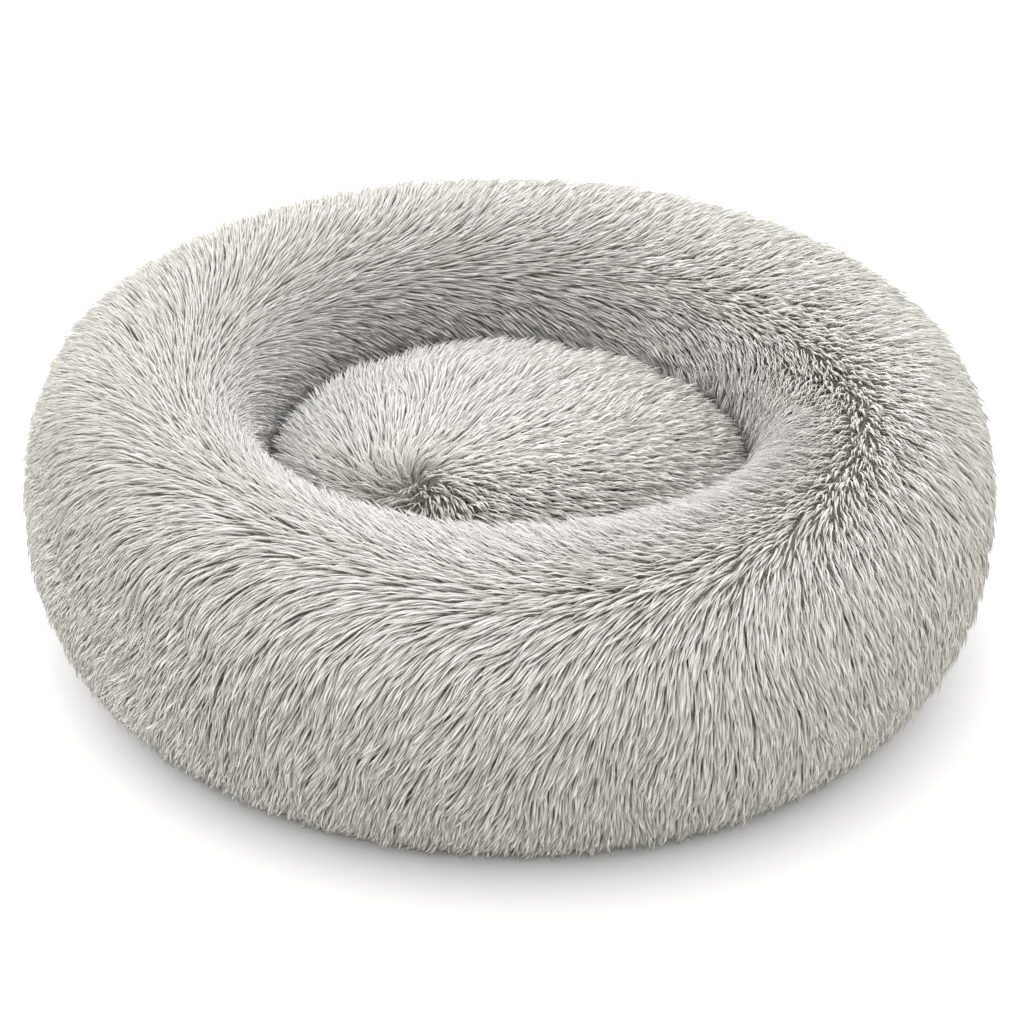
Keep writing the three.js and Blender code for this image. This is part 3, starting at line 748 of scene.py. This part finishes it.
# Plain weave: dull crossed threads 0.6 mm apart, and darker dots 3 mm across wherever the cloth faces down.
woven, woven_shader = material("plain-weave polyester with grip dots", Roughness=0.8, Sheen_Weight=0.2)
tree = woven.node_tree
where = node(tree, "ShaderNodeTexCoord")
split = node(tree, "ShaderNodeSeparateXYZ", {"Vector": where.outputs["Object"]})
threads = [threads_along(tree, split.outputs[axis], WEAVE_PITCH) for axis in ("X", "Y")]
weave = node(tree, "ShaderNodeMath", {0: threads[0], 1: threads[1]}, operation="MULTIPLY")
tile = tiled(tree, where.outputs["Object"], DOT_PITCH)
flat = node(tree, "ShaderNodeVectorMath", {0: tile, 1: (1, 1, 0)}, operation="MULTIPLY")
apart_dot = node(tree, "ShaderNodeVectorMath", {0: flat.outputs[0], 1: (0.5, 0.5, 0)}, operation="DISTANCE")
spot = node(tree, "ShaderNodeMath", {0: apart_dot.outputs["Value"], 1: DOT_RADIUS / DOT_PITCH},
            operation="LESS_THAN")
lie = node(tree, "ShaderNodeSeparateXYZ", {"Vector": node(tree, "ShaderNodeNewGeometry").outputs["Normal"]})
under = node(tree, "ShaderNodeMath", {0: lie.outputs["Z"], 1: -0.95}, operation="LESS_THAN")
dot = node(tree, "ShaderNodeMath", {0: spot.outputs[0], 1: under.outputs[0]}, operation="MULTIPLY")
cloth_shade = node(tree, "ShaderNodeMapRange", {"Value": weave.outputs[0], "From Min": -1.0})
cloth_colour = node(tree, "ShaderNodeMix", {0: cloth_shade.outputs["Result"], 6: srgb("85837e"),
                                            7: srgb("9b9994")}, data_type="RGBA")
both = node(tree, "ShaderNodeMix", {0: dot.outputs[0], 6: cloth_colour.outputs[2], 7: srgb("5f5e5b")},
            data_type="RGBA")
tree.links.new(both.outputs[2], woven_shader.inputs["Base Color"])
relief = node(tree, "ShaderNodeMath", {0: dot.outputs[0], 1: 3.0, 2: weave.outputs[0]},
              operation="MULTIPLY_ADD")
rise = node(tree, "ShaderNodeBump", {"Height": relief.outputs[0], "Distance": 0.0001, "Strength": 0.6})
tree.links.new(rise.outputs["Normal"], woven_shader.inputs["Normal"])

# Twill: a dull tape with slanting ribs about a millimetre apart.
twill, twill_shader = material("polyester twill tape", Roughness=0.75, Sheen_Weight=0.2)
tree = twill.node_tree
where = node(tree, "ShaderNodeTexCoord")
split = node(tree, "ShaderNodeSeparateXYZ", {"Vector": where.outputs["Object"]})
angle = node(tree, "ShaderNodeMath", {0: split.outputs["Y"], 1: split.outputs["X"]}, operation="ARCTAN2")
length = node(tree, "ShaderNodeMath", {0: angle.outputs[0], 1: TWILL_BEND}, operation="MULTIPLY")
radius = node(tree, "ShaderNodeVectorMath", {0: where.outputs["Object"]}, operation="LENGTH")
slant = node(tree, "ShaderNodeMath", {0: length.outputs[0], 1: radius.outputs["Value"]}, operation="ADD")
ribs = threads_along(tree, slant.outputs[0], TWILL_PITCH)
rib_shade = node(tree, "ShaderNodeMapRange", {"Value": ribs, "From Min": -1.0})
rib_colour = node(tree, "ShaderNodeMix", {0: rib_shade.outputs["Result"], 6: srgb("989690"),
                                          7: srgb("b0aea8")}, data_type="RGBA")
tree.links.new(rib_colour.outputs[2], twill_shader.inputs["Base Color"])
ridge = node(tree, "ShaderNodeBump", {"Height": ribs, "Distance": 0.00012, "Strength": 0.6})
tree.links.new(ridge.outputs["Normal"], twill_shader.inputs["Normal"])


def softened(low_r, high_r, low_z, high_z, ease):
    """A rectangle's outline with its corners cut by ease, anticlockwise, as (radius, height) rows."""
    return [(low_r + ease, low_z), (high_r - ease, low_z), (high_r, low_z + ease), (high_r, high_z - ease),
            (high_r - ease, high_z), (low_r + ease, high_z), (low_r, high_z - ease), (low_r, low_z + ease)]


_, panel_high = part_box("base_panel")
base = spun("base_cloth", [(0, 0), (panel_high.x * 0.5, 0), (panel_high.x - EDGE, 0), (panel_high.x, EDGE),
                           (panel_high.x, panel_high.z - EDGE), (panel_high.x - EDGE, panel_high.z),
                           (0, panel_high.z)], RING_TURN_STEPS, closed=False)
_, binding_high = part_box("base_binding")
bind = spun("base_binding_tape", softened(panel_high.x + 0.0004, binding_high.x, 0, binding_high.z, 0.0004),
            RING_TURN_STEPS)
tape_low, tape_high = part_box("well_seam_tape")
seam_tape = spun("well_tape", softened(tape_high.x - 0.005, tape_high.x, tape_low.z, tape_high.z, 0.0006),
                 RING_TURN_STEPS)
for piece, cad, slot, finish in ((base, "base_panel", "base_cloth", woven),
                                 (bind, "base_binding", "binding", twill),
                                 (seam_tape, "well_seam_tape", "binding", twill)):
    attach(piece, "ring")
    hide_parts(cad)
    piece.data.materials.append(finish)

# Cushion underside and cord.
# The cushion's lower half is the same plain cloth as the base, cut as one disc and eased in. A cord covered
# in twill is sewn into the seam where it meets the fur.
UNDERSIDE_THICK = 0.0012

sole = cushion_outline(0)[:CUSHION_SECTION_STEPS + 1]
lining = cushion_outline(UNDERSIDE_THICK)[:CUSHION_SECTION_STEPS + 1]
underside = spun("cushion_underside", np.concatenate([sole, lining[::-1]]), CUSHION_TURN_STEPS, closed=False)
piping_low, piping_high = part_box("cushion_piping")
cord_radius = (piping_high.z - piping_low.z) / 2
turn = np.linspace(0, 2 * math.pi, 12, endpoint=False)
piping = spun("cushion_cord", np.stack([piping_high.x - cord_radius + cord_radius * np.cos(turn),
                                        (piping_high.z + piping_low.z) / 2 + cord_radius * np.sin(turn)], 1),
              RING_TURN_STEPS)
for piece, cad, slot, finish in ((underside, "cushion_bottom_cover", "base_cloth", woven),
                                 (piping, "cushion_piping", "binding", twill)):
    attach(piece, "cushion")
    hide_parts(cad)
    piece.data.materials.append(finish)

# Zip.
# A grey nylon coil zip about half a metre long round the foot of the back, on 13 mm woven tapes. Each coil is
# one monofilament wound into flat loops. The stops, the slider and its pull are satin nickel.
TAPE_SPLIT = 0.0002
TAPE_WIDTH = 0.013
TAPE_OUT = -0.0010
TAPE_IN = -0.0022
COIL_PITCH = 0.0014
COIL_HALF_WIDTH = 0.0010
COIL_HALF_DEPTH = 0.0005
THREAD_RADIUS = 0.00028
COIL_REACH = (37.4, 142.6)
COIL_GAP = 0.0001
POINTS_PER_LOOP = 8
TAPE_STEPS = 110


def wall_radius(height):
    """Radius of the ring's outer wall below its middle."""
    return RING_MIDDLE + RING_ACROSS / 2 * (1 - (abs(height - RING_LEVEL) / RING_HALF_HEIGHT) ** 2) ** 0.5


def wall_strip(name, low, high, inner, outer, start, end, steps):
    """A strip of cloth on the outer wall between two heights and two bearings, from one depth to another."""
    levels = np.linspace(low, high, 7)
    face = [(wall_radius(z) + outer, z) for z in levels]
    back = [(wall_radius(z) + inner, z) for z in levels]
    return spun(name, face + back[::-1], steps, start=start, end=end)


# Woven tape: dull and pale, with fine threads along it.
ribbon, ribbon_shader = material("woven polyester zip tape", Roughness=0.8)
tree = ribbon.node_tree
where = node(tree, "ShaderNodeTexCoord")
split = node(tree, "ShaderNodeSeparateXYZ", {"Vector": where.outputs["Object"]})
across = threads_along(tree, split.outputs["Z"], WEAVE_PITCH)
grain = node(tree, "ShaderNodeTexNoise", {"Vector": where.outputs["Object"], "Scale": 900.0})
mixed = node(tree, "ShaderNodeMath", {0: across, 1: 0.3, 2: grain.outputs["Fac"]}, operation="MULTIPLY_ADD")
tape_colour = node(tree, "ShaderNodeMix", {0: mixed.outputs[0], 6: srgb("a4a29b"), 7: srgb("c4c2bb")},
                   data_type="RGBA")
tree.links.new(tape_colour.outputs[2], ribbon_shader.inputs["Base Color"])
rise = node(tree, "ShaderNodeBump", {"Height": mixed.outputs[0], "Distance": 0.0001, "Strength": 0.5})
tree.links.new(rise.outputs["Normal"], ribbon_shader.inputs["Normal"])

# Drawn nylon: smooth and slightly shiny, and its grey varies a little along the thread.
nylon, nylon_shader = material("nylon monofilament", Roughness=0.4)
tree = nylon.node_tree
where = node(tree, "ShaderNodeTexCoord")
cloudy = node(tree, "ShaderNodeTexNoise", {"Vector": where.outputs["Object"], "Scale": 60.0})
thread_colour = node(tree, "ShaderNodeMix", {0: cloudy.outputs["Fac"], 6: srgb("a5a39d"), 7: srgb("bcbab4")},
                     data_type="RGBA")
tree.links.new(thread_colour.outputs[2], nylon_shader.inputs["Base Color"])

# Satin nickel plate: a fine brushed grain breaks up the reflections.
nickel, nickel_shader = material("satin nickel plate", Base_Color=srgb("b4b3b0"), Metallic=1.0)
tree = nickel.node_tree
where = node(tree, "ShaderNodeTexCoord")
brushed = node(tree, "ShaderNodeTexNoise", {"Vector": where.outputs["Object"], "Scale": 1500.0,
                                            "Detail": 3.0})
gloss = node(tree, "ShaderNodeMapRange", {"Value": brushed.outputs["Fac"], "To Min": 0.25, "To Max": 0.45})
tree.links.new(gloss.outputs["Result"], nickel_shader.inputs["Roughness"])

for half, sign in (("upper", 1), ("lower", -1)):
    edges = sorted((ZIP_LINE + sign * TAPE_SPLIT, ZIP_LINE + sign * (TAPE_SPLIT + TAPE_WIDTH)))
    tape = wall_strip("zip_ribbon_" + half, *edges, TAPE_IN, TAPE_OUT, *ZIP_REACH, TAPE_STEPS)
    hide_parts("zip_tape_" + half)
    tape.data.materials.append(ribbon)
    middle_z = ZIP_LINE + sign * (COIL_HALF_WIDTH + COIL_GAP)
    turns = int(math.radians(COIL_REACH[1] - COIL_REACH[0]) * wall_radius(ZIP_LINE) / COIL_PITCH)
    beats = np.linspace(0, 1, turns * POINTS_PER_LOOP + 1)
    phase = beats * turns * 2 * math.pi + (0 if sign > 0 else math.pi)
    angle = np.radians(COIL_REACH[0] + (COIL_REACH[1] - COIL_REACH[0]) * beats)
    height = middle_z + COIL_HALF_WIDTH * np.cos(phase)
    reach = wall_radius(middle_z) + COIL_GAP + COIL_HALF_DEPTH * np.sin(phase)
    wire = bpy.data.curves.new("zip_thread_" + half, "CURVE")
    wire.dimensions = "3D"
    wire.bevel_depth = THREAD_RADIUS
    wire.bevel_resolution = 0
    wire.use_fill_caps = True
    line = wire.splines.new("POLY")
    line.points.add(len(beats) - 1)
    track = np.stack([reach * np.cos(angle), reach * np.sin(angle), height, np.ones(len(beats))], 1)
    line.points.foreach_set("co", track.astype(np.float32).reshape(-1))
    coil = bpy.data.objects.new("zip_thread_" + half, wire)
    bpy.context.scene.collection.objects.link(coil)
    coil.data.materials.append(nylon)
    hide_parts("zip_coil_" + half)
    for piece in (tape, coil):
        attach(piece, "ring")
for part in ("zip_bottom_stop", "zip_top_stop", "zip_slider", "zip_pull"):
    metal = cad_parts[part]
    metal.data.materials.clear()
    metal.data.materials.append(nickel)

# Label.
# A blank white satin label, 22 mm wide and 28 mm high, sewn flat on the wall beside the end of the zip.
LABEL_OUT = 0.0014
LABEL_IN = 0.0006
LABEL_HALF_ARC = 2.3

label = wall_strip("blank_label", *LABEL_HEIGHTS, LABEL_IN, LABEL_OUT, LABEL_BEARING - LABEL_HALF_ARC,
                   LABEL_BEARING + LABEL_HALF_ARC, 12)
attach(label, "ring")
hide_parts("care_label")
# Satin: smooth and a little glossy, with fine threads that run across it.
satin, satin_shader = material("polyester satin", Roughness=0.45, Sheen_Weight=0.2)
tree = satin.node_tree
where = node(tree, "ShaderNodeTexCoord")
stretched = node(tree, "ShaderNodeMapping", {"Vector": where.outputs["Object"], "Scale": (800, 800, 6000)})
threads = node(tree, "ShaderNodeTexNoise", {"Vector": stretched.outputs["Vector"], "Scale": 1.0,
                                            "Detail": 2.0})
satin_colour = node(tree, "ShaderNodeMix", {0: threads.outputs["Fac"], 6: srgb("e9e8e3"), 7: srgb("f8f7f4")},
                    data_type="RGBA")
tree.links.new(satin_colour.outputs[2], satin_shader.inputs["Base Color"])
rise = node(tree, "ShaderNodeBump", {"Height": threads.outputs["Fac"], "Distance": 0.00005, "Strength": 0.5})
tree.links.new(rise.outputs["Normal"], satin_shader.inputs["Normal"])
label.data.materials.append(satin)
